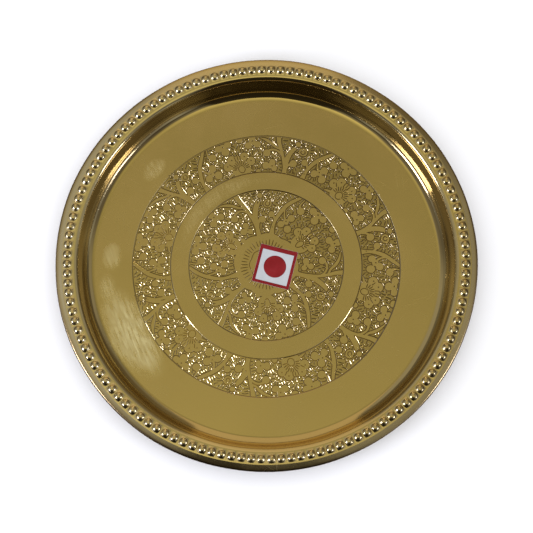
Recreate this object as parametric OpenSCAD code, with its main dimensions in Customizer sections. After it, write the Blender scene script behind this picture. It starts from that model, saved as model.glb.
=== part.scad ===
// Round beaded brass serving tray.
// A single pressed sheet makes the floor, the ogee wall and the beaded rim.
// The rim's edge is turned down and curled round a stiffening wire.
// A nearly square paper size label sits on the floor, just off the centre.
// Origin: the middle of the underside. +Z points up, out of the dish.

/* [Tray] */
// Outside diameter over the turned edge
tray_d = 203.2; // [190:0.1:220]
// Thickness of the pressed sheet
sheet_t = 0.6; // [0.5:0.05:0.8]
// Height of the rim's flat above the table
rim_z = 13.1; // [11:0.1:16]

/* [Wall] */
// Diameter of the flat floor, where the cove starts
floor_d = 167.6; // [150:0.1:168]
// Radius of the cove between floor and wall
cove_r = 5; // [3:0.1:5.5]
// Radius of the shoulder between wall and rim
shoulder_r = 2.8; // [2:0.1:3]
// Slope of the straight part of the wall, from the table
wall_angle = 76; // [72:1:80]

/* [Rim] */
// Diameter where the rim's flat ends and its outer slope starts
flat_d = 196; // [195:0.1:197]
// Slope of the rim outside the beads, down from level
brow_angle = 20; // [15:1:35]
// Radius of the bend from the flat to the outer slope
brow_r = 2.2; // [1.5:0.1:3]
// Radius of the outer corner, where the slope turns down
corner_r = 1.3; // [1:0.1:1.6]
// Height of the stiffening wire's middle above the table
hem_z = 9.5; // [9:0.1:10]
// Radius of the stiffening wire
wire_r = 1.1; // [0.8:0.05:1.2]
// How far the sheet is curled round the wire, past its outermost point
curl_angle = 215; // [180:5:235]

/* [Beads] */
// Number of beads round the rim
bead_count = 128; // [96:1:132]
// Diameter of the ring through the beads' centres
bead_ring_d = 191.6; // [191:0.1:193]
// Diameter of one bead where it leaves the rim
bead_d = 4.1; // [3:0.1:4.2]
// Height of a bead above the rim
bead_h = 1.3; // [0.9:0.05:1.5]

/* [Border lines] */
// Diameter of the line round the middle medallion
line_a_d = 75.6; // [70:0.1:80]
// Diameter of the engraved band's inner line
line_b_d = 93.6; // [90:0.1:98]
// Diameter of the engraved band's outer line
line_c_d = 130.8; // [126:0.1:134]
// Width of an engraved line
line_w = 0.7; // [0.4:0.05:0.9]
// Depth of an engraved line
line_depth = 0.12; // [0.05:0.01:0.2]

/* [Size label] */
// Width of the paper label
label_w = 18.6; // [14:0.1:22]
// Height of the paper label
label_h = 19.3; // [14:0.1:22]
// Thickness of the paper and its adhesive
label_t = 0.15; // [0.1:0.01:0.2]
// Label centre, left to right
label_x = 4.2; // [-8:0.1:8]
// Label centre, front to back
label_y = -1.1; // [-8:0.1:8]
// How far the label is turned, clockwise
label_turn = 14.2; // [0:0.1:45]
// Width of the printed border, left, right and below
border_w = 1.4; // [0.6:0.1:2]
// Width of the printed border above
border_top_w = 2.1; // [0.6:0.1:3]
// Diameter of the printed dot
mark_d = 11; // [6:0.5:12]
// Thickness of the printed ink
ink_t = 0.03; // [0.02:0.01:0.05]

/* [Hidden] */
$fn = 96;

out_r = tray_d / 2;
floor_r = floor_d / 2;
bead_ring_r = bead_ring_d / 2;
bend_sum = cove_r + shoulder_r;
shoulder_x = floor_r + bend_sum * sin(wall_angle)
  + (rim_z - sheet_t - bend_sum * (1 - cos(wall_angle))) / tan(wall_angle);
flat_r = flat_d / 2;
corner_x = out_r - corner_r;         // centre of the outer corner's bend
corner_z = rim_z - brow_r * (1 - cos(brow_angle)) - corner_r * cos(brow_angle)
  - (corner_x + corner_r * sin(brow_angle) - flat_r - brow_r * sin(brow_angle)) * tan(brow_angle);
hem_r = wire_r + 0.02;               // inside radius of the curl
hem_x = out_r - sheet_t - hem_r;     // radius of the ring that the wire lies on
bead_r = (bead_d * bead_d / 4 + bead_h * bead_h) / (2 * bead_h);
bead_z = rim_z + bead_h - bead_r;    // centre of a bead's sphere

// Points along an arc, from angle a0 to angle a1
function arc(x, z, r, a0, a1, n) =
  [for (i = [0:n]) let (a = a0 + (a1 - a0) * i / n) [x + r * cos(a), z + r * sin(a)]];

// The V of an engraved line at radius r
function vee(r) =
  [[r - line_w / 2, sheet_t], [r, sheet_t - line_depth], [r + line_w / 2, sheet_t]];

// Face side of the sheet, from the middle out and round the curl
function face_side() = concat(
  [[0, sheet_t]],
  vee(line_a_d / 2), vee(line_b_d / 2), vee(line_c_d / 2),
  arc(floor_r, sheet_t + cove_r, cove_r, -90, -90 + wall_angle, 10),
  arc(shoulder_x, rim_z - shoulder_r, shoulder_r, 90 + wall_angle, 90, 10),
  arc(flat_r, rim_z - brow_r, brow_r, 90, 90 - brow_angle, 4),
  arc(corner_x, corner_z, corner_r, 90 - brow_angle, 0, 6),
  arc(hem_x, hem_z, hem_r + sheet_t, 0, -curl_angle, 16));

// Back side of the sheet, from the end of the curl to the middle
function back_side() = concat(
  arc(hem_x, hem_z, hem_r, -curl_angle, 0, 16),
  arc(corner_x, corner_z, corner_r - sheet_t, 0, 90 - brow_angle, 6),
  arc(flat_r, rim_z - brow_r, brow_r - sheet_t, 90 - brow_angle, 90, 4),
  arc(shoulder_x, rim_z - shoulder_r, shoulder_r - sheet_t, 90, 90 + wall_angle, 10),
  arc(floor_r, sheet_t + cove_r, cove_r + sheet_t, -90 + wall_angle, -90, 10),
  [[0, 0]]);

// One bead: the cap of a sphere, let into the rim's sheet
module bead_cap() {
  rotate_extrude()
    intersection() {
      translate([0, bead_z]) circle(r = bead_r);
      translate([0, rim_z - sheet_t / 2]) square([bead_d, bead_h + sheet_t]);
    }
}

// Places a copy at every bead's centre line
module around_rim() {
  for (i = [0:bead_count - 1])
    rotate([0, 0, (i + 0.5) * 360 / bead_count]) translate([bead_ring_r, 0, 0]) children();
}

// Pressed sheet: floor with its border lines, ogee wall, rim with hollow beads, turned edge
module tray_pan() {
  color([0.69, 0.58, 0.30])
    difference() {
      union() {
        rotate_extrude() polygon(concat(face_side(), back_side()));
        around_rim() bead_cap();
      }
      around_rim() translate([0, 0, bead_z]) sphere(r = bead_r - sheet_t);
    }
}

// Stiffening wire, closed inside the curl
module rim_wire() {
  color([0.45, 0.45, 0.46])
    translate([0, 0, hem_z])
      rotate_extrude() translate([hem_x, 0]) circle(r = wire_r);
}

// Puts the label's own parts where the label lies
module on_label(z) {
  translate([label_x, label_y, z]) rotate([0, 0, -label_turn]) children();
}

// Paper label
module size_label() {
  color([0.82, 0.83, 0.84])
    on_label(sheet_t)
      linear_extrude(label_t) square([label_w, label_h], center = true);
}

// Printing on the label: a border and a plain dot
module size_label_print() {
  color([0.55, 0.05, 0.07])
    on_label(sheet_t + label_t)
      linear_extrude(ink_t) {
        difference() {
          square([label_w, label_h], center = true);
          translate([-label_w / 2 + border_w, -label_h / 2 + border_w])
            square([label_w - 2 * border_w, label_h - border_w - border_top_w]);
        }
        circle(d = mark_d);
      }
}

tray_pan();
rim_wire();
size_label();
size_label_print();
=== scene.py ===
# Brass tray: the looks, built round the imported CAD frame. Lengths in the mesh code are millimetres.
import math
import bpy
import bmesh
import numpy as np
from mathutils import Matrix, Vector
from mathutils.geometry import delaunay_2d_cdt

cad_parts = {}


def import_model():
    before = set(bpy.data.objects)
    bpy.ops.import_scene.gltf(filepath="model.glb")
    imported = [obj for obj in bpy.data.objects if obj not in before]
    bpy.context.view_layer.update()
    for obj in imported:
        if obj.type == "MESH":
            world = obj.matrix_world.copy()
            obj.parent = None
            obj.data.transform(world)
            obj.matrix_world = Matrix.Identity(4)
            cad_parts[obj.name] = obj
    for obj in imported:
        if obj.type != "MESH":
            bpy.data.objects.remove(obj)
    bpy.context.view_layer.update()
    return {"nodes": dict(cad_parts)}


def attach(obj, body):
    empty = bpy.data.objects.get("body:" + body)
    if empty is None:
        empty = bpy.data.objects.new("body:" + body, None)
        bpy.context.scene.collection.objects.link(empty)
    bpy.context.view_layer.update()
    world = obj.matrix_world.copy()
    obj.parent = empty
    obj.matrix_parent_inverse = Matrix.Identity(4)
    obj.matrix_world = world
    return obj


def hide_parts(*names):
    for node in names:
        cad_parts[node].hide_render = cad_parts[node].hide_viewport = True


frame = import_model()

MM = 0.001
TAU = 2 * math.pi

# ---------------------------------------------------------------- sizes, as the CAD frame has them
OUT_R, SHEET, RIM_Z = 101.6, 0.6, 13.1
FLOOR_R, COVE_R, SHOULDER_R, WALL = 83.8, 5.0, 2.8, math.radians(76)
FLAT_R, BROW_R, CORNER_R, BROW = 98.0, 2.2, 1.3, math.radians(20)
HEM_R, HEM_Z, CURL = 1.12, 9.5, math.radians(215)
BEADS, BEAD_RING, BEAD_D, BEAD_H = 128, 95.8, 4.1, 1.3
LINE_A, LINE_B, LINE_C = 37.8, 46.8, 65.4
SUM_R = COVE_R + SHOULDER_R
SHOULDER_X = (FLOOR_R + SUM_R * math.sin(WALL)
              + (RIM_Z - SHEET - SUM_R * (1 - math.cos(WALL))) / math.tan(WALL))
CORNER_X = OUT_R - CORNER_R
CORNER_Z = (RIM_Z - BROW_R * (1 - math.cos(BROW)) - CORNER_R * math.cos(BROW)
            - (CORNER_X + CORNER_R * math.sin(BROW) - FLAT_R - BROW_R * math.sin(BROW)) * math.tan(BROW))
HEM_X = OUT_R - SHEET - HEM_R
COLS = 2 * BEADS                      # vertices round every lathed ring
CUT, DEEP, GROUND = 0.175, 0.120, 0.045   # an engraved line's wall: how far in, how far down; the ground's level


# ---------------------------------------------------------------- engraving: distance fields
class Field:
    """A grid of distances in mm, on a flat sheet, or on a ring unrolled at radius mid (then x is periodic)."""

    def __init__(self, x0, x1, y0, y1, step, mid=None):
        self.nx = int(round((x1 - x0) / step))
        self.ny = int(round((y1 - y0) / step))
        self.x0, self.y0 = x0, y0
        self.gx, self.gy = (x1 - x0) / self.nx, (y1 - y0) / self.ny
        self.mid = mid
        self.cols = self.nx if mid else self.nx + 1
        self.rows = self.ny + 1
        self.X = x0 + self.gx * np.arange(self.cols)
        self.Y = y0 + self.gy * np.arange(self.rows)

    def blank(self, value=9.0):
        return np.full((self.rows, self.cols), value, np.float32)

    def capsules(self, out, caps, pad):
        """out = min(out, distance to each tapered capsule (x, y, r, x, y, r)), within pad of it."""
        span = self.nx * self.gx
        for ax, ay, ra, bx, by, rb in caps:
            m = max(ra, rb) + pad
            lo, hi = min(ax, bx) - m, max(ax, bx) + m
            i0 = max(0, int((min(ay, by) - m - self.y0) / self.gy))
            i1 = min(self.rows, int((max(ay, by) + m - self.y0) / self.gy) + 2)
            if i1 <= i0:
                continue
            j0 = int(math.floor((lo - self.x0) / self.gx))
            j1 = int(math.floor((hi - self.x0) / self.gx)) + 2
            if self.mid:
                jj = np.arange(j0, j1)
                xs = self.x0 + jj * self.gx
                idx = jj % self.cols
            else:
                j0, j1 = max(0, j0), min(self.cols, j1)
                if j1 <= j0:
                    continue
                idx = slice(j0, j1)
                xs = self.X[idx]
            px, py = xs[None, :] - ax, self.Y[i0:i1, None] - ay
            dx, dy = bx - ax, by - ay
            ll = dx * dx + dy * dy
            t = np.clip((px * dx + py * dy) / ll, 0, 1) if ll > 1e-12 else np.zeros_like(px + py)
            d = np.hypot(px - t * dx, py - t * dy) - (ra + t * (rb - ra))
            out[i0:i1, idx] = np.minimum(out[i0:i1, idx], d.astype(np.float32))

    def place(self, x, y):
        """Field coordinates to tray coordinates."""
        if self.mid:
            a = x / self.mid
            return y * np.cos(a), y * np.sin(a)
        return x, y


def chain(points):
    return [(*points[i], *points[i + 1]) for i in range(len(points) - 1)]


def smooth_line(points, per=4):
    """A Catmull-Rom curve through (x, y, r) points."""
    p = np.array(points, float)
    if len(p) < 3:
        return [tuple(q) for q in p]
    p = np.vstack([2 * p[0] - p[1], p, 2 * p[-1] - p[-2]])
    out = []
    for i in range(1, len(p) - 2):
        a, b, c, d = p[i - 1], p[i], p[i + 1], p[i + 2]
        for k in range(per):
            t = k / per
            out.append(0.5 * (2 * b + (c - a) * t + (2 * a - 5 * b + 4 * c - d) * t * t
                              + (3 * b - a - 3 * c + d) * t ** 3))
    out.append(p[-2])
    return [(q[0], q[1], max(q[2], 0.02)) for q in out]


# ---------------------------------------------------------------- engraving: the ornament
# One repeat of the flower scroll, drawn on a 1428 x 467 board: x runs clockwise, y runs inwards.
# Stems and leaves are chains of (x, y, half width); buds and petals are discs.
STEMS = [
    [(1437, 486, 34), (1432, 400, 25), (1412, 312, 21)],
    [(1412, 312, 21), (1378, 228, 17), (1347, 150, 19), (1324, 80, 22), (1312, 2, 27)],
    [(1352, 165, 13), (1296, 150, 12), (1238, 96, 17), (1180, 58, 13), (1122, 36, 4)],
    [(1385, 245, 12), (1338, 205, 12), (1280, 184, 12), (1226, 190, 14)],
    [(1418, 312, 16), (1443, 235, 14), (1470, 175, 14), (1499, 128, 10)],
    [(1462, 392, 10), (1478, 350, 12), (1512, 326, 18)],
    [(284, 486, 44), (291, 400, 23), (305, 330, 20), (345, 237, 23), (390, 162, 21), (440, 95, 19), (492, 22, 13)],
    [(302, 330, 12), (275, 292, 14), (250, 276, 16)],
    [(392, 160, 9), (392, 215, 8), (410, 268, 12), (440, 300, 14)],
    [(532, 28, 6), (524, 92, 10), (545, 128, 20)],
    [(40, 470, 10), (22, 380, 15), (36, 262, 16), (58, 190, 17), (92, 138, 10)],
    [(640, 452, 4), (690, 436, 13), (752, 420, 14), (806, 404, 8)],
    [(905, 404, 8), (960, 424, 13), (1010, 446, 5)],
]
DISCS = [
    (1189, 228, 41), (1538, 320, 43), (1535, 76, 27),
    (238, 272, 37), (500, 258, 42), (404, 350, 42), (532, 366, 47), (458, 312, 36),
    (560, 140, 41), (655, 70, 38), (722, 132, 42), (772, 58, 36), (712, 72, 38),
    (890, 34, 34), (985, 118, 38), (1085, 120, 37), (1032, 42, 36), (1035, 88, 34),
    (690, 325, 53), (757, 258, 52), (914, 250, 51), (988, 306, 50), (836, 246, 26), (850, 392, 118),
    (1180, 387, 42), (1265, 342, 38), (1292, 412, 36), (1236, 388, 34), (1070, 456, 34),
    (1606, 156, 46),
]
# Lines and dots cut inside the shapes
CUTS = [
    [(1600, 130, 4), (1580, 160, 6), (1606, 184, 6), (1630, 160, 6), (1618, 132, 4)],
    [(78, 436, 4), (100, 384, 7), (106, 366, 4)], [(142, 440, 4), (118, 392, 7), (108, 366, 4)],
    [(706, 300, 3), (742, 332, 6)], [(799, 232, 3), (808, 286, 6)], [(836, 222, 3), (838, 270, 6)],
    [(868, 232, 3), (866, 282, 6)], [(958, 262, 3), (930, 300, 6)],
]
DOTS = [(455, 306, 9), (711, 66, 9), (1035, 74, 9), (686, 318, 9), (754, 256, 9), (916, 246, 9), (992, 300, 9),
        (1262, 388, 9), (285, 400, 7)]
for k in range(11):                                   # stamens of the half flower
    a = math.radians(-6 - 16.8 * k)
    c, s = math.cos(a), math.sin(a)
    CUTS.append([(852 + 62 * c, 396 + 62 * s, 3), (852 + 88 * c, 396 + 88 * s, 7), (852 + 116 * c, 396 + 116 * s, 4)])
for k in range(9):                                    # rays of the small round flower
    a = math.radians(150 + 30 * k)
    c, s = math.cos(a), math.sin(a)
    r1 = 78 if k % 2 else 66
    CUTS.append([(1535 + 40 * c, 76 + 40 * s, 3), (1535 + 56 * c, 76 + 56 * s, 7), (1535 + r1 * c, 76 + r1 * s, 3)])
RING_CUTS = [(852, 396, 47)]


class Wobble:
    """A smooth, repeatable push of a few hundredths of a millimetre, so no two repeats are the same."""

    def __init__(self, rng, size):
        self.k = rng.normal(0, 1, (6, 2))
        self.p = rng.uniform(0, TAU, (6, 2))
        self.size = size

    def __call__(self, x, y):
        w = [0.0, 0.0]
        for j in range(2):
            for i in range(6):
                w[j] += math.sin(self.k[i, 0] * x * 0.35 + self.k[i, 1] * y * 0.35 + self.p[i, j])
        return x + self.size * w[0] / 2.4, y + self.size * w[1] / 2.4


def draw(place, scale_at, wobble):
    """The board's shapes in field coordinates: shape capsules and cut capsules."""
    shapes, cuts = [], []

    def put(p):
        x, y = place(p[0], p[1])
        x, y = wobble(x, y)
        return x, y, p[2] * scale_at(p[1])

    for line in STEMS:
        shapes += chain([put(p) for p in smooth_line(line)])
    for p in DISCS:
        q = put(p)
        q = (q[0], q[1], 1.08 * q[2])
        shapes.append((*q, *q))
    for line in CUTS:
        cuts += chain([put(p) for p in smooth_line(line, 3)])
    for p in DOTS:
        q = put(p)
        q = (q[0], q[1], max(q[2], 0.24))
        cuts.append((*q, *q))
    for x, y, r in RING_CUTS:
        ring = [put((x + r * math.cos(TAU * i / 24), y + r * math.sin(TAU * i / 24), 5)) for i in range(25)]
        cuts += chain(ring)
    return shapes, cuts


def hatch(field, S, inside, spacing, reach, rng, lean, fill=0.34):
    """Short wavy chisel strokes over the ground, roughly square to the nearest outline."""
    k = 3                                             # work on a coarser copy
    s = S[::k, ::k]
    gx, gy = field.gx * k, field.gy * k
    if field.mid:
        px = (np.roll(s, -1, 1) - np.roll(s, 1, 1)) / (2 * gx)
    else:
        px = np.gradient(s, gx, axis=1)
    py = np.gradient(s, gy, axis=0)
    c2, s2 = px * px - py * py, 2 * px * py           # doubled angle, so opposite directions agree
    for _ in range(10):
        if field.mid:
            c2 = (np.roll(c2, 1, 1) + np.roll(c2, -1, 1) + 2 * c2) / 4
            s2 = (np.roll(s2, 1, 1) + np.roll(s2, -1, 1) + 2 * s2) / 4
        c2[1:-1] = (c2[2:] + c2[:-2] + 2 * c2[1:-1]) / 4
        s2[1:-1] = (s2[2:] + s2[:-2] + 2 * s2[1:-1]) / 4
        if not field.mid:
            c2[:, 1:-1] = (c2[:, 2:] + c2[:, :-2] + 2 * c2[:, 1:-1]) / 4
            s2[:, 1:-1] = (s2[:, 2:] + s2[:, :-2] + 2 * s2[:, 1:-1]) / 4
    rows, cols = s.shape
    cell = spacing * 0.5
    span = field.nx * field.gx
    taken = {}

    def at(x, y):
        i = int((y - field.y0) / gy + 0.5)
        j = int(math.floor((x - field.x0) / gx + 0.5))
        if i < 0 or i >= rows:
            return None
        if field.mid:
            j %= cols
        elif j < 0 or j >= cols:
            return None
        return i, j

    def key(x, y):
        if field.mid:
            x = (x - field.x0) % span + field.x0
        return int(math.floor(x / cell)), int(math.floor(y / cell))

    def near(x, y, d, own):
        a, b = key(x, y)
        for u in range(a - 2, a + 3):
            for v in range(b - 2, b + 3):
                for qx, qy, who in taken.get((u, v), ()):
                    if who != own:
                        ex = abs(qx - x)
                        if field.mid:
                            ex = min(ex, span - ex)
                        if ex * ex + (qy - y) ** 2 < d * d:
                            return True
        return False

    strokes = []
    n = int(span * field.ny * field.gy / (spacing * spacing) * 9)
    xs = field.x0 + rng.uniform(0, span, n)
    ys = field.y0 + rng.uniform(0, field.ny * field.gy, n)
    wave = rng.uniform(0, TAU, n)
    length = rng.uniform(0.55 * reach, reach, n)
    step = 0.26
    for q in range(n):
        x, y = xs[q], ys[q]
        ij = at(x, y)
        if ij is None or s[ij] < 0.62 or not inside(x, y, 0.4) or near(x, y, spacing * 0.95, -1):
            continue
        runs = []
        for sign in (1, -1):
            cx, cy, run, last = x, y, [], None
            for m in range(int(length[q] / 2 / step)):
                ij = at(cx, cy)
                if ij is None:
                    break
                lx, ly = lean(cx, cy)
                a = 0.5 * math.atan2(s2[ij] + ly * 0.35, c2[ij] + lx * 0.35)
                a += 0.30 * math.sin(wave[q] + sign * m * step * 1.9)
                dx, dy = math.cos(a), math.sin(a)
                if last is None:
                    dx, dy = sign * dx, sign * dy
                elif dx * last[0] + dy * last[1] < 0:
                    dx, dy = -dx, -dy
                if last and dx * last[0] + dy * last[1] < 0.55:
                    break
                nxt = cx + dx * step, cy + dy * step
                ij = at(*nxt)
                if ij is None or s[ij] < 0.52 or not inside(*nxt, 0.34) or near(*nxt, spacing * 0.78, -1):
                    break
                cx, cy = nxt
                last = (dx, dy)
                run.append(nxt)
            runs.append(run)
        line = runs[1][::-1] + [(x, y)] + runs[0]
        if len(line) < 3:
            continue
        for p in line:
            taken.setdefault(key(*p), []).append((*p, q))
        strokes.append(line)
    caps = []
    for line in strokes:
        m = len(line) - 1
        w = rng.uniform(0.245, 0.305)
        pts = [(p[0], p[1], w * (0.62 + 0.38 * math.sin(math.pi * min(1, max(0, (i + 0.7) / (m + 1.1)))) ** 0.6))
               for i, p in enumerate(line)]
        keep = pts[::2] + ([pts[-1]] if (len(pts) - 1) % 2 else [])
        caps += chain(keep)
    return caps, len(strokes)


def contours(field, V, level):
    """Level lines of V as lists of grid places, by marching squares."""
    A = V.astype(np.float64) - level
    A[A == 0] = 1e-9
    if field.mid:
        A = np.concatenate([A, A[:, :1]], 1)
    rows, cols = A.shape
    n0 = cols - 1 if field.mid else cols
    pos = A > 0
    code = (pos[:-1, :-1] * 1 + pos[:-1, 1:] * 2 + pos[1:, 1:] * 4 + pos[1:, :-1] * 8)
    ii, jj = np.nonzero((code > 0) & (code < 15))
    cd = code[ii, jj]
    H = rows * n0
    top, bot = ii * n0 + jj, (ii + 1) * n0 + jj
    left, right = H + ii * n0 + jj, H + ii * n0 + (jj + 1) % n0
    e = np.stack([top, right, bot, left], 1)
    table = {1: (3, 0), 2: (0, 1), 3: (3, 1), 4: (1, 2), 6: (0, 2), 7: (3, 2), 8: (2, 3), 9: (0, 2),
             11: (1, 2), 12: (1, 3), 13: (0, 1), 14: (0, 3)}
    P, Q = [], []
    for c, (a, b) in table.items():
        m = cd == c
        P.append(e[m, a]), Q.append(e[m, b])
    mean = (A[ii, jj] + A[ii, jj + 1] + A[ii + 1, jj] + A[ii + 1, jj + 1]) > 0
    for c, full, split in ((5, ((3, 2), (0, 1)), ((3, 0), (1, 2))), (10, ((0, 3), (1, 2)), ((0, 1), (2, 3)))):
        for want, pairs in ((True, full), (False, split)):
            m = (cd == c) & (mean == want)
            for a, b in pairs:
                P.append(e[m, a]), Q.append(e[m, b])
    P, Q = np.concatenate(P), np.concatenate(Q)
    link = {}
    for a, b in zip(P.tolist(), Q.tolist()):
        link.setdefault(a, []).append(b)
        link.setdefault(b, []).append(a)
    ids = np.array(sorted(link))
    vert = ids >= H
    i = np.where(vert, (ids - H) // n0, ids // n0)
    j = np.where(vert, (ids - H) % n0, ids % n0)
    a = A[i, j]
    b = np.where(vert, A[np.minimum(i + 1, rows - 1), j], A[i, np.minimum(j + 1, cols - 1)])
    t = a / (a - b)
    x = field.x0 + field.gx * (j + np.where(vert, 0, t))
    y = field.y0 + field.gy * (i + np.where(vert, t, 0))
    px, py = field.place(x, y)
    spot = dict(zip(ids.tolist(), zip(px.tolist(), py.tolist())))
    lines, seen = [], set()
    for start in ids.tolist():
        if start in seen or len(link[start]) != 2:
            continue
        loop, prev, cur = [start], None, start
        seen.add(start)
        closed = False
        while True:
            step = [q for q in link[cur] if q != prev]
            if not step:
                break
            nxt = step[0]
            if nxt == start:
                closed = True
                break
            if nxt in seen:
                break
            seen.add(nxt)
            loop.append(nxt)
            prev, cur = cur, nxt
        if closed and len(loop) >= 6:
            lines.append(np.array([spot[q] for q in loop]))
    return lines


def thin(p, tol):
    """Douglas-Peucker on a closed loop."""
    n = len(p)
    far = int(np.argmax(((p - p[0]) ** 2).sum(1)))
    keep = np.zeros(n + 1, bool)
    q = np.vstack([p, p[:1]])
    keep[[0, far, n]] = True
    stack = [(0, far), (far, n)]
    while stack:
        a, b = stack.pop()
        if b - a < 2:
            continue
        d = q[b] - q[a]
        L = math.hypot(*d)
        w = q[a + 1:b] - q[a]
        dist = np.abs(d[0] * w[:, 1] - d[1] * w[:, 0]) / L if L > 1e-9 else np.hypot(w[:, 0], w[:, 1])
        m = int(np.argmax(dist))
        if dist[m] > tol or L > 1.6:
            m = m + a + 1 if dist[m] > tol else (a + b) // 2
            keep[m] = True
            stack += [(a, m), (m, b)]
    return q[:-1][keep[:-1]]


def levels(f, D, S):
    """The groove's top edge, at the floor's level or at the worked ground's, and its bottom edge."""
    out = []
    for level in (0.0, -CUT):
        for p in contours(f, D, level):
            p = thin(p, 0.014)
            if f.mid:
                r = np.hypot(p[:, 0], p[:, 1])
                x, y = (np.arctan2(p[:, 1], p[:, 0]) % TAU) * f.mid, r
                inner = (r > LINE_B) & (r < LINE_C)
            else:
                x, y = p[:, 0], p[:, 1]
                inner = np.hypot(x, y) < LINE_A
            j = np.rint((x - f.x0) / f.gx).astype(int)
            j = j % f.cols if f.mid else np.clip(j, 0, f.cols - 1)
            i = np.clip(np.rint((y - f.y0) / f.gy).astype(int), 0, f.rows - 1)
            low = np.where(inner & (S[i, j] > 0.24), GROUND, 0.0)
            if level < 0:
                # cut steeper towards the right of the tray
                t = np.arctan2(p[:, 1], p[:, 0])
                z = np.where(inner, -GROUND - DEEP * (1.16 + 0.20 * np.cos(t - 0.5)), -DEEP)
            else:
                z = -low
            out.append((p, z))
    return out


def engraved_loops():
    """Closed loops of every engraved groove: (points, height)."""
    loops = []
    info = {}
    # the band, unrolled at its middle radius
    mid = 0.5 * (LINE_B + LINE_C)
    f = Field(0, TAU * mid, LINE_B - 0.9, LINE_C + 0.9, 0.06, mid)
    rng = np.random.default_rng(7)
    S, C = f.blank(), f.blank()
    u = TAU * mid / 6 / 1428
    v = (LINE_C - LINE_B) / 447
    turn = math.radians(79.8) * mid
    for k in range(6):
        wob = Wobble(rng, 0.16)
        off = turn - k * TAU * mid / 6

        def place(x, y, off=off):
            return off - x * u, LINE_C - (y - 20) * v

        shapes, cuts = draw(place, lambda y: v, wob)
        f.capsules(S, shapes, 4.0)
        f.capsules(C, [(a, b, max(c, 0.20), d, e, max(g, 0.20)) for a, b, c, d, e, g in cuts], 0.5)
    outline = np.abs(S - 0.22) - 0.235
    edge = np.minimum(f.Y - LINE_B, LINE_C - f.Y)[:, None]
    outline = np.maximum(outline, 0.12 - edge)        # outlines stop at the border lines
    caps, n = hatch(f, S, lambda x, y, m: LINE_B + 0.35 + m < y < LINE_C - 0.35 - m, 1.04, 3.8, rng,
                    lambda x, y: (-1.0, 0.0))
    info["band strokes"] = n
    Hh = f.blank()
    f.capsules(Hh, caps, 0.4)
    D = np.minimum(np.minimum(outline, C), Hh)
    a = f.X / mid
    for base, hw in ((LINE_B, 0.27), (LINE_C, 0.33)):
        ring = base + 0.07 * np.sin(3 * a + base) + 0.05 * np.sin(8 * a + 1.3 * base)
        D = np.minimum(D, np.abs(f.Y[:, None] - ring[None, :]) - hw)
    loops += levels(f, D, S)
    # the medallion, flat
    R = LINE_A + 0.9
    f = Field(-R, R, -R, R, 0.06)
    S, C = f.blank(), f.blank()
    XX, YY = np.meshgrid(f.X, f.Y)
    RR, AA = np.hypot(XX, YY), np.arctan2(YY, XX)
    for k in range(3):
        wob = Wobble(rng, 0.22)

        def place(x, y, k=k):
            a = math.radians(104 - 120 * k) - x / 1428 * TAU / 3
            r = LINE_A - (y - 20) / 447 * (LINE_A - 15.6)
            return r * math.cos(a), r * math.sin(a)

        shapes, cuts = draw(place, lambda y: 0.0465 - 0.000028 * y, wob)
        f.capsules(S, shapes, 4.0)
        f.capsules(C, [(a, b, max(c, 0.20), d, e, max(g, 0.20)) for a, b, c, d, e, g in cuts], 0.5)
    petals = 14.6 + 1.25 * np.abs(np.cos(4.0 * AA + 0.5)) ** 0.7
    S = np.minimum(S, RR - petals)                    # the big flower under the label
    outline = np.abs(S - 0.22) - 0.235
    caps, n = hatch(f, S, lambda x, y, m: math.hypot(x, y) < LINE_A - 0.3 - m, 1.04, 3.6, rng,
                    lambda x, y: ((x * x - y * y) / (x * x + y * y + 1e-6), 2 * x * y / (x * x + y * y + 1e-6)))
    info["medallion strokes"] = n
    for k in range(44):                               # its stamens
        a = TAU * (k + rng.uniform(-0.12, 0.12)) / 44
        r0, r1 = 9.0 + rng.uniform(-0.3, 0.3), 12.3 + rng.uniform(-0.5, 0.5)
        rm = (r0 + r1) / 2
        c, s = math.cos(a), math.sin(a)
        caps += chain([(r0 * c, r0 * s, 0.16), (rm * c, rm * s, 0.27), (r1 * c, r1 * s, 0.18)])
    Hh = f.blank()
    f.capsules(Hh, caps, 0.4)
    D = np.minimum(np.minimum(outline, C), Hh)
    D = np.minimum(D, np.abs(RR - 8.0 - 0.25 * np.cos(8 * AA)) - 0.22)
    D = np.where(RR > LINE_A, 9.0, D)
    ring = LINE_A + 0.08 * np.sin(2 * AA + 0.4) + 0.04 * np.sin(7 * AA)
    D = np.minimum(D, np.abs(RR - ring) - 0.26).astype(np.float32)
    loops += levels(f, D, S)
    return loops, info


# ---------------------------------------------------------------- the pan's mesh
class Mesh:
    def __init__(self):
        self.v, self.f, self.tag, self.n = [], [], [], 0

    def add(self, verts, faces, tag, flip=False):
        self.v.append(np.asarray(verts, float).reshape(-1, 3))
        for q in faces:
            q = [int(i) + self.n for i in q]
            self.f.append(q[::-1] if flip else q)
            self.tag.append(tag)
        self.n += len(self.v[-1])


def ring_angles(n=COLS):
    return TAU * np.arange(n) / n


def lathe(mesh, profile, tag):
    """Rings of quads along a profile that runs outwards on a face side."""
    a = ring_angles()
    v = np.array([[(r * c, r * s, z) for c, s in zip(np.cos(a), np.sin(a))] for r, z in profile])
    m, n = len(profile), len(a)
    faces = []
    for i in range(m - 1):
        for j in range(n):
            k = (j + 1) % n
            faces.append((i * n + j, (i + 1) * n + j, (i + 1) * n + k, i * n + k))
    mesh.add(v, faces, tag)


def arc(x, z, r, a0, a1, n):
    return [(x + r * math.cos(a0 + (a1 - a0) * i / n), z + r * math.sin(a0 + (a1 - a0) * i / n)) for i in range(n + 1)]


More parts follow.
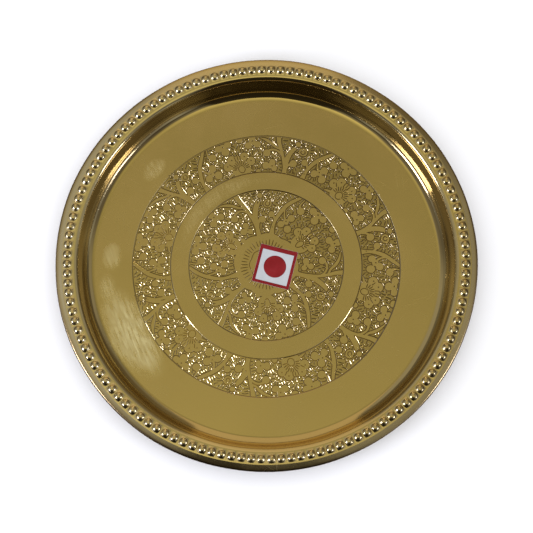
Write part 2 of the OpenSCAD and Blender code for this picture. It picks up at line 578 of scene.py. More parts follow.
def ring_cells(mesh, r_in, r_out, z, rings, height, tag, flip, jitter):
    """The rim's flat, one cell per bead: rings of points round the bead, filled out to the cell's edges."""
    half = math.pi / BEADS
    pts, kind = [], []
    loops = []
    pts.append((0.0, 0.0)), kind.append(0.0)
    for d, n in rings:
        ring = []
        for i in range(n):
            a = TAU * (i + 0.5 * (n % 8 == 0)) / n
            ring.append(len(pts))
            pts.append((d * math.cos(a), d * math.sin(a)))
            kind.append(d)
        loops.append(ring)
    edge = []
    rows = [r_in] + [r_in + (r_out - r_in) * t for t in (0.2, 0.4, 0.6, 0.8)] + [r_out]

    def polar(r, a):
        return (r * math.sin(a), r * math.cos(a) - BEAD_RING)      # local: x along the rim, y outwards

    for r in rows:
        edge.append(polar(r, half))
    edge.append(polar(r_out, 0))
    for r in rows[::-1]:
        edge.append(polar(r, -half))
    edge.append(polar(r_in, 0))
    first = len(pts)
    pts += edge
    kind += [None] * len(edge)
    loops.append(list(range(first, len(pts))))
    edges = [(lp[i], lp[(i + 1) % len(lp)]) for lp in loops for i in range(len(lp))]
    out = delaunay_2d_cdt([Vector(p) for p in pts], edges, [loops[-1]], 1, 1e-6)
    vo, fo, orig = out[0], out[2], out[3]
    base = np.array([(p.x, p.y) for p in vo])
    d = np.array([kind[o[0]] if o and kind[o[0]] is not None else -1.0 for o in orig])
    rng = np.random.default_rng(jitter)
    for i in range(BEADS):
        sx, sy = rng.normal(0, 0.12), rng.normal(0, 0.07)
        grow, up = rng.normal(1.0, 0.035), rng.normal(1.0, 0.05)
        tilt, tdir = rng.uniform(0, 0.07), rng.uniform(0, TAU)
        p = base.copy()
        zz = np.zeros(len(p))
        m = d >= 0
        fade = np.where(m, np.clip((2.2 - d) / 0.7, 0, 1), 0)
        p[m] *= (1 + (grow - 1) * fade[m])[:, None]
        p[:, 0] += sx * fade
        p[:, 1] += sy * fade
        zz[m] = [height(q) for q in d[m]]
        zz *= up * (1 + tilt * (base[:, 0] * math.cos(tdir) + base[:, 1] * math.sin(tdir)))
        a = (i + 0.5) * TAU / BEADS
        er, et = np.array([math.cos(a), math.sin(a)]), np.array([-math.sin(a), math.cos(a)])
        xy = (p[:, 1] + BEAD_RING)[:, None] * er + p[:, :1] * et
        mesh.add(np.column_stack([xy, z + zz]), fo, tag, flip)


def bead_height(d):
    r = (BEAD_D ** 2 / 4 + BEAD_H ** 2) / (2 * BEAD_H)
    cap = math.sqrt(max(r * r - d * d, 0)) - (r - BEAD_H)
    return max(cap, 0.03) if d < 2.1 else 0.0


def dimple_height(d):
    r = (BEAD_D ** 2 / 4 + BEAD_H ** 2) / (2 * BEAD_H)
    ri = r - SHEET
    return max(math.sqrt(max(ri * ri - d * d, 0)) + (BEAD_H - r) + SHEET, 0.0) if d < ri else 0.0


def floor_mesh(mesh):
    loops, info = engraved_loops()
    pts, height, edges = [], [], []
    for p, z in loops:
        if len(p) < 3:
            continue
        first = len(pts)
        n = len(p)
        pts += [tuple(q) for q in p]
        height += z.tolist()
        edges += [(first + i, first + (i + 1) % n) for i in range(n)]
    first = len(pts)
    a = ring_angles()
    pts += [(FLOOR_R * math.cos(t), FLOOR_R * math.sin(t)) for t in a]
    height += [0.0] * COLS
    edges += [(first + i, first + (i + 1) % COLS) for i in range(COLS)]
    for r, n in ((42.3, 96), (67.0, 192), (69.5, 128), (73.5, 96), (78.0, 128), (81.6, 256)):
        t0 = 0.3 * r
        pts += [(r * math.cos(t0 + TAU * i / n), r * math.sin(t0 + TAU * i / n)) for i in range(n)]
        height += [0.0] * n
    out = delaunay_2d_cdt([Vector(p) for p in pts], edges, [], 0, 1e-7)
    vo, fo, orig = out[0], out[2], out[3]
    z = np.array([min(height[k] for k in o) if o else 0.0 for o in orig])
    lost = sum(1 for o in orig if not o)
    xy = np.array([(p.x, p.y) for p in vo])
    mesh.add(np.column_stack([xy, SHEET + z]), fo, 0)
    info.update(floor_points=len(vo), floor_tris=len(fo), crossings=lost, loops=len(loops))
    return info


def build_pan():
    mesh = Mesh()
    info = floor_mesh(mesh)
    cove = arc(FLOOR_R, SHEET + COVE_R, COVE_R, -math.pi / 2, -math.pi / 2 + WALL, 13)
    shoulder = arc(SHOULDER_X, RIM_Z - SHOULDER_R, SHOULDER_R, math.pi / 2 + WALL, math.pi / 2, 11)
    c1, s0 = cove[-1], shoulder[0]
    straight = [(c1[0] + (s0[0] - c1[0]) * t, c1[1] + (s0[1] - c1[1]) * t) for t in (0.25, 0.5, 0.75)]
    lathe(mesh, cove + straight + shoulder, 1)
    ring_cells(mesh, SHOULDER_X, FLAT_R, RIM_Z,
               [(0.42, 8), (0.88, 12), (1.32, 16), (1.66, 20), (1.86, 20), (1.98, 20), (2.11, 20)],
               bead_height, 2, True, 11)
    q = math.pi / 2
    brow = arc(FLAT_R, RIM_Z - BROW_R, BROW_R, q, q - BROW, 4)
    corner = arc(CORNER_X, CORNER_Z, CORNER_R, q - BROW, 0, 6)
    b0, b1 = brow[-1], corner[0]
    slope = [(b0[0] + (b1[0] - b0[0]) * t, b0[1] + (b1[1] - b0[1]) * t) for t in (0.33, 0.67)]
    lathe(mesh, brow + slope + corner + arc(HEM_X, HEM_Z, HEM_R + SHEET, 0, -CURL, 15), 3)
    # round the cut end of the curl, then back along the inside
    end_o = (HEM_X + (HEM_R + SHEET) * math.cos(-CURL), HEM_Z + (HEM_R + SHEET) * math.sin(-CURL))
    inner = arc(HEM_X, HEM_Z, HEM_R, -CURL, 0, 11)
    lathe(mesh, [end_o, ((end_o[0] + inner[0][0]) / 2 + 0.05, (end_o[1] + inner[0][1]) / 2 + 0.08), inner[0]], 4)
    lathe(mesh, inner + arc(CORNER_X, CORNER_Z, CORNER_R - SHEET, 0, q - BROW, 4)
          + arc(FLAT_R, RIM_Z - BROW_R, BROW_R - SHEET, q - BROW, q, 4), 5)
    ring_cells(mesh, SHOULDER_X, FLAT_R, RIM_Z - SHEET,
               [(0.5, 8), (0.95, 12), (1.3, 14), (1.5, 14)], dimple_height, 5, False, 11)
    sh = arc(SHOULDER_X, RIM_Z - SHOULDER_R, SHOULDER_R - SHEET, math.pi / 2, math.pi / 2 + WALL, 7)
    cv = arc(FLOOR_R, SHEET + COVE_R, COVE_R + SHEET, -math.pi / 2 + WALL, -math.pi / 2, 9)
    lathe(mesh, sh + cv, 5)
    # underside of the floor
    pts, edges = [], []
    for r, n in ((FLOOR_R, COLS), (80.0, 128), (70.0, 96), (58.0, 80), (45.0, 64), (31.0, 44), (18.0, 26), (7.0, 10)):
        first = len(pts)
        pts += [(r * math.cos(TAU * i / n), r * math.sin(TAU * i / n)) for i in range(n)]
        if r == FLOOR_R:
            edges += [(first + i, first + (i + 1) % n) for i in range(n)]
    out = delaunay_2d_cdt([Vector(p) for p in pts], edges, [], 0, 1e-7)
    mesh.add([(p.x, p.y, 0.0) for p in out[0]], out[2], 6, True)
    v = np.vstack(mesh.v)
    # hand work: the rim is a little out of round and out of flat
    a, r = np.arctan2(v[:, 1], v[:, 0]), np.hypot(v[:, 0], v[:, 1])
    w = np.clip((r - FLOOR_R - 0.8) / 12, 0, 1)
    w = w * w * (3 - 2 * w)
    dr = (0.16 * np.sin(2 * a + 0.9) + 0.13 * np.sin(3 * a + 2.3) + 0.08 * np.sin(5 * a + 0.4)
          + 0.05 * np.sin(9 * a + 1.7) + 0.02 * np.sin(23 * a + 0.3))
    dz = 0.10 * np.sin(2 * a - 0.6) + 0.07 * np.sin(5 * a + 1.2) + 0.03 * np.sin(11 * a)
    wall = np.exp(-((r - 87.5) / 3.0) ** 2) * (0.035 * np.sin(17 * a + 0.5) + 0.025 * np.sin(29 * a + 2.2))
    k = (r + w * (dr - 0.05) + wall) / np.maximum(r, 1e-6)
    v[:, 0] *= k
    v[:, 1] *= k
    v[:, 2] += w * dz
    me = bpy.data.meshes.new("tray_pan_visual")
    me.from_pydata((v * MM).tolist(), [], mesh.f)
    tags = np.array(mesh.tag, np.int32)
    att = me.attributes.new("zone", "INT", "FACE")
    att.data.foreach_set("value", tags)
    bm = bmesh.new()
    bm.from_mesh(me)
    bmesh.ops.remove_doubles(bm, verts=bm.verts, dist=0.002 * MM)
    loose = [q for q in bm.verts if not q.link_faces]
    bmesh.ops.delete(bm, geom=loose, context="VERTS")
    info["open_edges"] = sum(1 for e in bm.edges if len(e.link_faces) != 2)
    info["volume_mm3"] = round(bm.calc_volume(signed=True) * 1e9, 1)
    layer = bm.faces.layers.int["zone"]
    for face in bm.faces:
        face.smooth = face[layer] not in (0, 4)
    bm.to_mesh(me)
    bm.free()
    info["faces"] = len(me.polygons)
    me.calc_loop_triangles()
    info["tris"] = len(me.loop_triangles)
    obj = bpy.data.objects.new("tray_pan_visual", me)
    bpy.context.scene.collection.objects.link(obj)
    return obj, info


pan, pan_info = build_pan()
print("PAN", pan_info)
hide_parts("tray_pan")
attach(pan, "root")


# ---------------------------------------------------------------- materials
def material(name):
    m = bpy.data.materials.new(name)
    m.use_nodes = True
    nt = m.node_tree
    nt.nodes.clear()
    out = nt.nodes.new("ShaderNodeOutputMaterial")
    bsdf = nt.nodes.new("ShaderNodeBsdfPrincipled")
    nt.links.new(bsdf.outputs[0], out.inputs[0])
    return m, nt, bsdf


def node(nt, kind, **inputs):
    n = nt.nodes.new(kind)
    for k, val in inputs.items():
        if k in n.inputs:
            n.inputs[k].default_value = val
        else:
            setattr(n, k, val)
    return n


def link(nt, a, b):
    nt.links.new(a, b)


def math_node(nt, op, a, b=None, c=None, clamp=False):
    n = nt.nodes.new("ShaderNodeMath")
    n.operation = op
    n.use_clamp = clamp
    for i, v in enumerate((a, b, c)):
        if v is None:
            continue
        if isinstance(v, (int, float)):
            n.inputs[i].default_value = v
        else:
            nt.links.new(v, n.inputs[i])
    return n.outputs[0]


def ramp(nt, fac, stops, smooth=False):
    n = nt.nodes.new("ShaderNodeValToRGB")
    n.color_ramp.interpolation = "EASE" if smooth else "LINEAR"
    e = n.color_ramp.elements
    while len(e) < len(stops):
        e.new(0.5)
    for i, (p, c) in enumerate(stops):
        e[i].position = p
        e[i].color = (c, c, c, 1) if isinstance(c, (int, float)) else (*c, 1)
    nt.links.new(fac, n.inputs[0])
    return n.outputs[0]


def step(nt, x, lo, hi, a=0.0, b=1.0, smooth=True):
    n = nt.nodes.new("ShaderNodeMapRange")
    n.interpolation_type = "SMOOTHSTEP" if smooth else "LINEAR"
    n.clamp = True
    for k, v in (("From Min", lo), ("From Max", hi), ("To Min", a), ("To Max", b)):
        n.inputs[k].default_value = v
    if isinstance(x, (int, float)):
        n.inputs[0].default_value = x
    else:
        nt.links.new(x, n.inputs[0])
    return n.outputs[0]


def mix(nt, fac, a, b, kind="FLOAT"):
    n = nt.nodes.new("ShaderNodeMix")
    n.data_type = kind
    socks = {"FLOAT": (0, 2, 3), "RGBA": (0, 6, 7)}[kind]
    for i, v in zip(socks, (fac, a, b)):
        if isinstance(v, (int, float)):
            n.inputs[i].default_value = v
        elif isinstance(v, tuple):
            n.inputs[i].default_value = (*v, 1)
        else:
            nt.links.new(v, n.inputs[i])
    return n.outputs[0 if kind == "FLOAT" else 2]


def noise(nt, vec, scale, detail=2.0, rough=0.5, dist=0.0):
    n = nt.nodes.new("ShaderNodeTexNoise")
    n.inputs["Scale"].default_value = scale
    n.inputs["Detail"].default_value = detail
    n.inputs["Roughness"].default_value = rough
    n.inputs["Distortion"].default_value = dist
    nt.links.new(vec, n.inputs["Vector"])
    return n.outputs[0]


def mapped(nt, vec, loc=(0, 0, 0), rot=(0, 0, 0), scale=(1, 1, 1)):
    n = nt.nodes.new("ShaderNodeMapping")
    n.inputs["Location"].default_value = loc
    n.inputs["Rotation"].default_value = rot
    n.inputs["Scale"].default_value = scale
    nt.links.new(vec, n.inputs["Vector"])
    return n.outputs[0]


def brass():
    m, nt, b = material("brass_polished")
    tc = nt.nodes.new("ShaderNodeTexCoord")
    obj = tc.outputs["Object"]
    sep = nt.nodes.new("ShaderNodeSeparateXYZ")
    link(nt, obj, sep.inputs[0])
    x, y, z = sep.outputs
    r = math_node(nt, "SQRT", math_node(nt, "ADD", math_node(nt, "MULTIPLY", x, x), math_node(nt, "MULTIPLY", y, y)))
    geo = nt.nodes.new("ShaderNodeNewGeometry")
    ns = nt.nodes.new("ShaderNodeSeparateXYZ")
    link(nt, geo.outputs["Normal"], ns.inputs[0])
    back = step(nt, ns.outputs[2], 0.02, -0.05)
    # roughness by zone, outwards from the middle
    rr = math_node(nt, "DIVIDE", r, 0.105)
    zone = ramp(nt, rr, [(0.0, 0.21), (0.795, 0.21), (0.803, 0.10), (0.870, 0.09), (0.900, 0.19), (0.935, 0.20),
                         (0.95, 0.20), (1.0, 0.20)])
    cloud = noise(nt, obj, 26, 4, 0.55, 0.4)
    fine = noise(nt, obj, 900, 3, 0.6)
    rough = math_node(nt, "ADD", zone, step(nt, cloud, 0.35, 0.72, -0.035, 0.07))
    rough = math_node(nt, "ADD", rough, math_node(nt, "MULTIPLY", math_node(nt, "SUBTRACT", fine, 0.5), 0.06))
    # hairline scratches, a few directions
    scratch = None
    for i, (rot, sx, sy, lo) in enumerate(((0.5, 55, 1500, 0.70), (1.45, 45, 1300, 0.70), (2.3, 70, 1700, 0.70),
                                           (2.9, 40, 1200, 0.71))):
        v = mapped(nt, mapped(nt, obj, (0, 0, 0), (0, 0, rot)), (3.1 * i, 1.7 * i, 0), (0, 0, 0), (sx, sy, 1))
        nz = noise(nt, v, 1.0, 1.0, 0.5, 0.15)
        line = step(nt, nz, lo, lo + 0.03)
        scratch = line if scratch is None else math_node(nt, "MAXIMUM", scratch, line)
    patches = step(nt, noise(nt, obj, 18, 2, 0.5, 0.6), 0.48, 0.66)
    scratch = math_node(nt, "MULTIPLY", scratch, mix(nt, patches, 0.25, 1.0))
    rough = math_node(nt, "ADD", rough, math_node(nt, "MULTIPLY", scratch, 0.12))
    # grooves hold a little dirt; on the lower-left side, where the light falls, it is painted lighter as painted light
    inside = math_node(nt, "MULTIPLY", step(nt, r, 0.0672, 0.0668), step(nt, ns.outputs[2], 0.0, 0.1))
    ground = math_node(nt, "MULTIPLY", step(nt, z, 0.00059, 0.000555), inside)
    groove = math_node(nt, "MULTIPLY", step(nt, z, 0.00055, 0.00047), inside)
    # painted shade round the foot of every bead, which is also made rougher
    bead_foot_shade = math_node(nt, "MULTIPLY", step(nt, r, 0.0925, 0.0935), step(nt, r, 0.0990, 0.0981))
    bead_foot_shade = math_node(nt, "MULTIPLY", bead_foot_shade, step(nt, z, 0.01385, 0.01325))
    bead_foot_shade = math_node(nt, "MULTIPLY", bead_foot_shade, step(nt, ns.outputs[2], 0.97, 0.80))
    bead_foot_shade = math_node(nt, "MULTIPLY", bead_foot_shade, step(nt, ns.outputs[2], -0.2, 0.2))
    # painted shade: a dark crescent on the outer side of every bead
    bead_crescent_shade = math_node(nt, "MULTIPLY", step(nt, r, 0.0959, 0.0970), step(nt, r, 0.0990, 0.0983))
    bead_crescent_shade = math_node(nt, "MULTIPLY", bead_crescent_shade, step(nt, z, 0.01425, 0.01355))
    bead_crescent_shade = math_node(nt, "MULTIPLY", bead_crescent_shade, step(nt, ns.outputs[2], 0.95, 0.82))
    bead_crescent_shade = math_node(nt, "MULTIPLY", bead_crescent_shade, step(nt, ns.outputs[2], -0.2, 0.2))
    # painted light: a mask for the lower-left side, where the light falls
    painted_lit_side = step(nt, math_node(nt, "ADD", math_node(nt, "MULTIPLY", x, -0.90), math_node(nt, "MULTIPLY", y, -0.43)),
               -0.045, 0.055)
    rough = math_node(nt, "ADD", rough, math_node(nt, "MULTIPLY", ground, -0.08))
    rough = math_node(nt, "ADD", rough, math_node(nt, "MULTIPLY", groove, 0.02))
    rough = math_node(nt, "ADD", rough, math_node(nt, "MULTIPLY", bead_foot_shade, 0.12))
    # a hazy rubbed patch near the wall at the lower left, and two smaller ones further up: real fine scratches, with a
    # painted sheen where the light's reflection falls
    ang = math_node(nt, "ARCTAN2", y, x)
    cloudy = step(nt, noise(nt, obj, 60, 3, 0.6, 0.5), 0.22, 0.60)
    haze_and_painted_sheen = None
    for a0, half, r0, dr, k in ((-152, 21, 0.0745, 0.0125, 1.25), (177, 6, 0.0755, 0.0055, 0.75), (139, 6, 0.0735, 0.0050, 0.70),
                                (-171, 7, 0.078, 0.005, 0.6), (128, 44, 0.0425, 0.0045, 0.28)):
        d = math_node(nt, "WRAP", math_node(nt, "SUBTRACT", ang, math.radians(a0)), math.pi, -math.pi)
        u = math_node(nt, "POWER", math_node(nt, "DIVIDE", d, math.radians(half)), 2.0)
        w = math_node(nt, "POWER", math_node(nt, "DIVIDE", math_node(nt, "SUBTRACT", r, r0), dr), 2.0)
        spot = math_node(nt, "MULTIPLY", step(nt, math_node(nt, "ADD", u, w), 1.0, 0.0), k)
        haze_and_painted_sheen = spot if haze_and_painted_sheen is None else math_node(nt, "MAXIMUM", haze_and_painted_sheen, spot)
    streak = noise(nt, mapped(nt, mapped(nt, obj, (0, 0, 0), (0, 0, 1.15)), (0, 0, 0), (0, 0, 0), (110, 900, 1)), 1.0, 3, 0.6, 0.3)
    streak = step(nt, streak, 0.34, 0.66, 0.35, 1.0)
    haze_and_painted_sheen = math_node(nt, "MULTIPLY", math_node(nt, "MULTIPLY", haze_and_painted_sheen, cloudy), streak)
    rough = math_node(nt, "ADD", rough, math_node(nt, "MULTIPLY", haze_and_painted_sheen, 0.22))
    rough = mix(nt, back, rough, 0.34)
    link(nt, math_node(nt, "MAXIMUM", rough, 0.05), b.inputs["Roughness"])
    # colour: yellow brass with a faint olive and brown tarnish, and painted light and shade on the engraving, beads,
    # rim and wall
    tone = mix(nt, step(nt, noise(nt, obj, 11, 3, 0.5, 0.3), 0.35, 0.7), (0.79, 0.63, 0.31), (0.755, 0.60, 0.29), "RGBA")
    tone = mix(nt, step(nt, noise(nt, obj, 60, 4, 0.6, 0.2), 0.58, 0.80, 0.0, 0.35), tone, (0.66, 0.51, 0.24), "RGBA")
    # the worked ground and the grooves are darker as dirt, and painted lighter on the lit lower-left side (painted
    # light)
    tone = mix(nt, math_node(nt, "MULTIPLY", ground, mix(nt, painted_lit_side, 0.36, 0.0)), tone, (0.40, 0.30, 0.15), "RGBA")
    tone = mix(nt, math_node(nt, "MULTIPLY", groove, mix(nt, painted_lit_side, 0.85, 0.55)), tone, (0.28, 0.22, 0.155), "RGBA")
    # painted sheen: the rubbed patches are painted paler
    tone = mix(nt, math_node(nt, "MULTIPLY", haze_and_painted_sheen, 0.9, clamp=True), tone, (0.93, 0.82, 0.44), "RGBA")
    # painted light: the rim's flat land is painted paler, most on the left side where the light falls
    land_painted_light = math_node(nt, "MULTIPLY", step(nt, r, 0.0905, 0.0925), step(nt, r, 0.1006, 0.0992))
    land_painted_light = math_node(nt, "MULTIPLY", land_painted_light, step(nt, x, 0.09, -0.09, 0.25, 1.0, False))
    tone = mix(nt, land_painted_light, tone, (0.97, 0.82, 0.49), "RGBA")
    # painted shade at the foot of every bead
    tone = mix(nt, math_node(nt, "MULTIPLY", bead_foot_shade, 0.5), tone, (0.22, 0.17, 0.09), "RGBA")
    tone = mix(nt, math_node(nt, "MULTIPLY", bead_crescent_shade, 0.75), tone, (0.17, 0.125, 0.065), "RGBA")
    # painted shade on the wall: a darker band, stronger towards the back
    wall_painted_shade = math_node(nt, "MULTIPLY", step(nt, r, 0.0858, 0.0872), step(nt, r, 0.0918, 0.0908))
    wall_painted_shade = math_node(nt, "MULTIPLY", wall_painted_shade, step(nt, y, -0.02, 0.02, 0.08, 0.34))
    for a0 in (146, 24):                                # painted shade, darker on two stretches of it where bright reflections would fall
        d = math_node(nt, "WRAP", math_node(nt, "SUBTRACT", ang, math.radians(a0)), math.pi, -math.pi)
        d = math_node(nt, "ABSOLUTE", d)
        strip = math_node(nt, "MULTIPLY", step(nt, d, math.radians(34), math.radians(16)),
                          math_node(nt, "MULTIPLY", step(nt, r, 0.0846, 0.0858), step(nt, r, 0.0917, 0.0908)))
        wall_painted_shade = math_node(nt, "MAXIMUM", wall_painted_shade, math_node(nt, "MULTIPLY", strip, 0.93))
    tone = mix(nt, wall_painted_shade, tone, (0.33, 0.25, 0.125), "RGBA")
    # painted shade: a dark line along the outer edge
    rim_edge_shade = step(nt, r, 0.1003, 0.1013, 0.0, 0.78)
    tone = mix(nt, rim_edge_shade, tone, (0.27, 0.165, 0.085), "RGBA")
    tone = mix(nt, math_node(nt, "MULTIPLY", back, 0.5), tone, (0.60, 0.45, 0.20), "RGBA")
    link(nt, tone, b.inputs["Base Color"])
    # the painted sheen also lowers metallic in the rubbed patches, so they take up diffuse light
    link(nt, math_node(nt, "SUBTRACT", 1.0, math_node(nt, "MULTIPLY", haze_and_painted_sheen, 0.26)), b.inputs["Metallic"])
    b.inputs["Anisotropic"].default_value = 0.35
    tan = nt.nodes.new("ShaderNodeTangent")
    tan.direction_type = "RADIAL"
    tan.axis = "Z"
    link(nt, tan.outputs[0], b.inputs["Tangent"])
    # relief: scratches, soft hammering of the sheet, spun rings on the wall
    # the rubbed patches are fine scratches that slope towards the light
    rub = noise(nt, mapped(nt, mapped(nt, obj, (0, 0, 0), (0, 0, 1.15)), (0, 0, 0), (0, 0, 0), (420, 2600, 1)), 1.0, 3, 0.6, 0.3)
    rub = math_node(nt, "MULTIPLY", math_node(nt, "MULTIPLY", rub, haze_and_painted_sheen), 0.00016)
    height = math_node(nt, "ADD", rub, math_node(nt, "MULTIPLY", scratch, -0.000006))
    height = math_node(nt, "ADD", height, math_node(nt, "MULTIPLY", noise(nt, obj, 420, 3, 0.6), 0.000004))
    height = math_node(nt, "ADD", height, math_node(nt, "MULTIPLY", noise(nt, obj, 14, 2, 0.5), 0.00006))
    ringv = nt.nodes.new("ShaderNodeCombineXYZ")
    link(nt, math_node(nt, "MULTIPLY", r, 1600.0), ringv.inputs[0])
    link(nt, math_node(nt, "MULTIPLY", z, 900.0), ringv.inputs[1])
    rings = noise(nt, ringv.outputs[0], 1.0, 2, 0.5)
    wallside = math_node(nt, "MULTIPLY", step(nt, r, 0.0835, 0.0850), step(nt, r, 0.0925, 0.0905))
    height = math_node(nt, "ADD", height, math_node(nt, "MULTIPLY", rings, math_node(
        nt, "ADD", math_node(nt, "MULTIPLY", wallside, 0.0000055), 0.0000025)))
    bump = nt.nodes.new("ShaderNodeBump")
    bump.inputs["Strength"].default_value = 1.0
    bump.inputs["Distance"].default_value = 1.0
    link(nt, height, bump.inputs["Height"])
    link(nt, bump.outputs[0], b.inputs["Normal"])
    return m


pan.data.materials.append(brass())


def steel():
    """Drawn steel wire: fine lines along its length, a few dull spots."""
    m, nt, b = material("wire_drawn_steel")
    obj = nt.nodes.new("ShaderNodeTexCoord").outputs["Object"]
    sep = nt.nodes.new("ShaderNodeSeparateXYZ")
    link(nt, obj, sep.inputs[0])
    x, y, z = sep.outputs
    r = math_node(nt, "SQRT", math_node(nt, "ADD", math_node(nt, "MULTIPLY", x, x), math_node(nt, "MULTIPLY", y, y)))
    v = nt.nodes.new("ShaderNodeCombineXYZ")
    link(nt, math_node(nt, "MULTIPLY", r, 5000.0), v.inputs[0])
    link(nt, math_node(nt, "MULTIPLY", z, 5000.0), v.inputs[1])
    link(nt, math_node(nt, "MULTIPLY", math_node(nt, "ARCTAN2", y, x), 6.0), v.inputs[2])
    drawn = noise(nt, v.outputs[0], 1.0, 3, 0.6)
    spots = step(nt, noise(nt, obj, 240, 4, 0.6, 0.3), 0.55, 0.75)
    col = mix(nt, drawn, (0.36, 0.36, 0.37), (0.52, 0.52, 0.53), "RGBA")
    col = mix(nt, math_node(nt, "MULTIPLY", spots, 0.6), col, (0.20, 0.15, 0.11), "RGBA")
    link(nt, col, b.inputs["Base Color"])
    link(nt, math_node(nt, "ADD", step(nt, drawn, 0.3, 0.7, 0.28, 0.44), math_node(nt, "MULTIPLY", spots, 0.25)),
         b.inputs["Roughness"])
    b.inputs["Metallic"].default_value = 1.0
    bump = nt.nodes.new("ShaderNodeBump")
    bump.inputs["Distance"].default_value = 1.0
    link(nt, math_node(nt, "MULTIPLY", drawn, 0.000006), bump.inputs["Height"])
    link(nt, bump.outputs[0], b.inputs["Normal"])
    return m


wire = frame["nodes"]["rim_wire"]
wire.data.materials.clear()
wire.data.materials.append(steel())


# ---------------------------------------------------------------- the paper label and its print
LABEL_W, LABEL_H, LABEL_AT, LABEL_TURN = 18.6, 19.3, (4.2, -1.1), math.radians(-14.2)
LABEL_T, INK_T = 0.13, 0.03
BORDER, BORDER_TOP, DOT_R = 1.5, 2.15, 5.5


def paper_lift(x, y):
    """How far the paper stands off the floor: two lifted corners and a soft wave along one edge."""
    w, h = LABEL_W / 2, LABEL_H / 2
    lift = 0.0
    for sx, sy, k in ((1, 1, 0.30), (-1, -1, 0.22), (1, -1, 0.10), (-1, 1, 0.06)):
        d = max(0.0, 1 - math.hypot(w - sx * x, h - sy * y) / 5.5)
        lift += k * d * d
    lift += 0.05 * max(0.0, (y / h) ** 3) * (1 + math.sin(x * 0.8 + 0.6))
    return lift + 0.012 * (1 + math.sin(x * 0.9 + 1.0) * math.sin(y * 0.75 + 0.4))


def round_rect(x0, y0, x1, y1, r, n=5):
    out = []
    for cx, cy, a0 in ((x1 - r, y1 - r, 0), (x0 + r, y1 - r, 90), (x0 + r, y0 + r, 180), (x1 - r, y0 + r, 270)):
        out += [(cx + r * math.cos(math.radians(a0 + 90 * i / n)), cy + r * math.sin(math.radians(a0 + 90 * i / n)))
                for i in range(n + 1)]
    return out


def split_loop(loop, most):
    out = []
    for i, a in enumerate(loop):
        b = loop[(i + 1) % len(loop)]
        n = max(1, int(math.ceil(math.hypot(b[0] - a[0], b[1] - a[1]) / most)))
        out += [(a[0] + (b[0] - a[0]) * k / n, a[1] + (b[1] - a[1]) * k / n) for k in range(n)]
    return out


def sheet_piece(name, outer, holes, bottom, thick, pitch, round_edge):
    """A thin closed sheet cut to loops, lying on the label's own surface."""
    loops = [split_loop(q, pitch * 0.8) for q in [outer] + holes]
    pts, edges = [], []
    for q in loops:
        first = len(pts)
        pts += q
        edges += [(first + i, first + (i + 1) % len(q)) for i in range(len(q))]
    arr = np.array(loops[0])

    def inside(x, y, loop):
        odd = False
        for i in range(len(loop)):
            (x0, y0), (x1, y1) = loop[i], loop[(i + 1) % len(loop)]
            if (y0 > y) != (y1 > y) and x < (x1 - x0) * (y - y0) / (y1 - y0) + x0:
                odd = not odd
        return odd

    n = int(math.ceil(max(np.ptp(arr[:, 0]), np.ptp(arr[:, 1])) / pitch))
    for i in range(1, n):
        for j in range(1, n):
            x = arr[:, 0].min() + i * pitch + 0.5 * pitch * (j % 2)
            y = arr[:, 1].min() + j * pitch
            clear = min(math.hypot(px - x, py - y) for q in loops for px, py in q)
            if clear > 0.45 * pitch and inside(x, y, loops[0]) and not any(inside(x, y, q) for q in loops[1:]):
                pts.append((x, y))
    out = delaunay_2d_cdt([Vector(q) for q in pts], edges, [], 0, 1e-6)
    vo, fo = [(q.x, q.y) for q in out[0]], out[2]
    keep = []
    for t in fo:
        cx, cy = sum(vo[i][0] for i in t) / len(t), sum(vo[i][1] for i in t) / len(t)
        if inside(cx, cy, loops[0]) and not any(inside(cx, cy, q) for q in loops[1:]):
            keep.append(t)
    count = {}
    for t in keep:
        for i in range(len(t)):
            a, b = t[i], t[(i + 1) % len(t)]
            count[(min(a, b), max(a, b))] = count.get((min(a, b), max(a, b)), 0) + 1
    c, s = math.cos(LABEL_TURN), math.sin(LABEL_TURN)

    def world(x, y, z):
        return ((LABEL_AT[0] + c * x - s * y) * MM, (LABEL_AT[1] + s * x + c * y) * MM, z * MM)

    verts, faces = [], []
    for x, y in vo:
        base = SHEET + paper_lift(x, y) + bottom
        verts.append(world(x, y, base))
    for x, y in vo:
        base = SHEET + paper_lift(x, y) + bottom
        verts.append(world(x, y, base + thick))
    m = len(vo)
    for t in keep:
        faces.append(tuple(i + m for i in t))
        faces.append(tuple(t[::-1]))
    for t in keep:
        for i in range(len(t)):
            a, b = t[i], t[(i + 1) % len(t)]
            if count[(min(a, b), max(a, b))] == 1:
                faces.append((a, b, b + m, a + m))
    me = bpy.data.meshes.new(name)
    me.from_pydata(verts, [], faces)
    bm = bmesh.new()
    bm.from_mesh(me)
    bmesh.ops.delete(bm, geom=[q for q in bm.verts if not q.link_faces], context="VERTS")
    rim = [e for e in bm.edges if len(e.link_faces) == 2 and e.calc_face_angle(0) > 1.0]
    if round_edge:
        bmesh.ops.bevel(bm, geom=rim, offset=round_edge * MM, segments=1, affect="EDGES")
    for q in bm.faces:
        q.smooth = abs(q.normal.z) > 0.7
    bm.to_mesh(me)
    bm.free()
    o = bpy.data.objects.new(name, me)
    bpy.context.scene.collection.objects.link(o)
    return o


W, H = LABEL_W / 2, LABEL_H / 2
label = sheet_piece("size_label_paper", round_rect(-W, -H, W, H, 0.35), [], 0.0, LABEL_T, 0.8, 0.03)
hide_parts("size_label")
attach(label, "root")
border = sheet_piece("size_label_border", round_rect(-W + 0.06, -H + 0.06, W - 0.06, H - 0.06, 0.32),
                     [round_rect(-W + BORDER, -H + BORDER, W - BORDER, H - BORDER_TOP, 0.15)],
                     LABEL_T, INK_T, 0.8, 0)
dot = sheet_piece("size_label_dot", [(DOT_R * math.cos(TAU * i / 72), DOT_R * math.sin(TAU * i / 72)) for i in range(72)],
                  [], LABEL_T, INK_T, 0.8, 0)
for o in (border, dot):
    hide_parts("size_label_print")
    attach(o, "root")


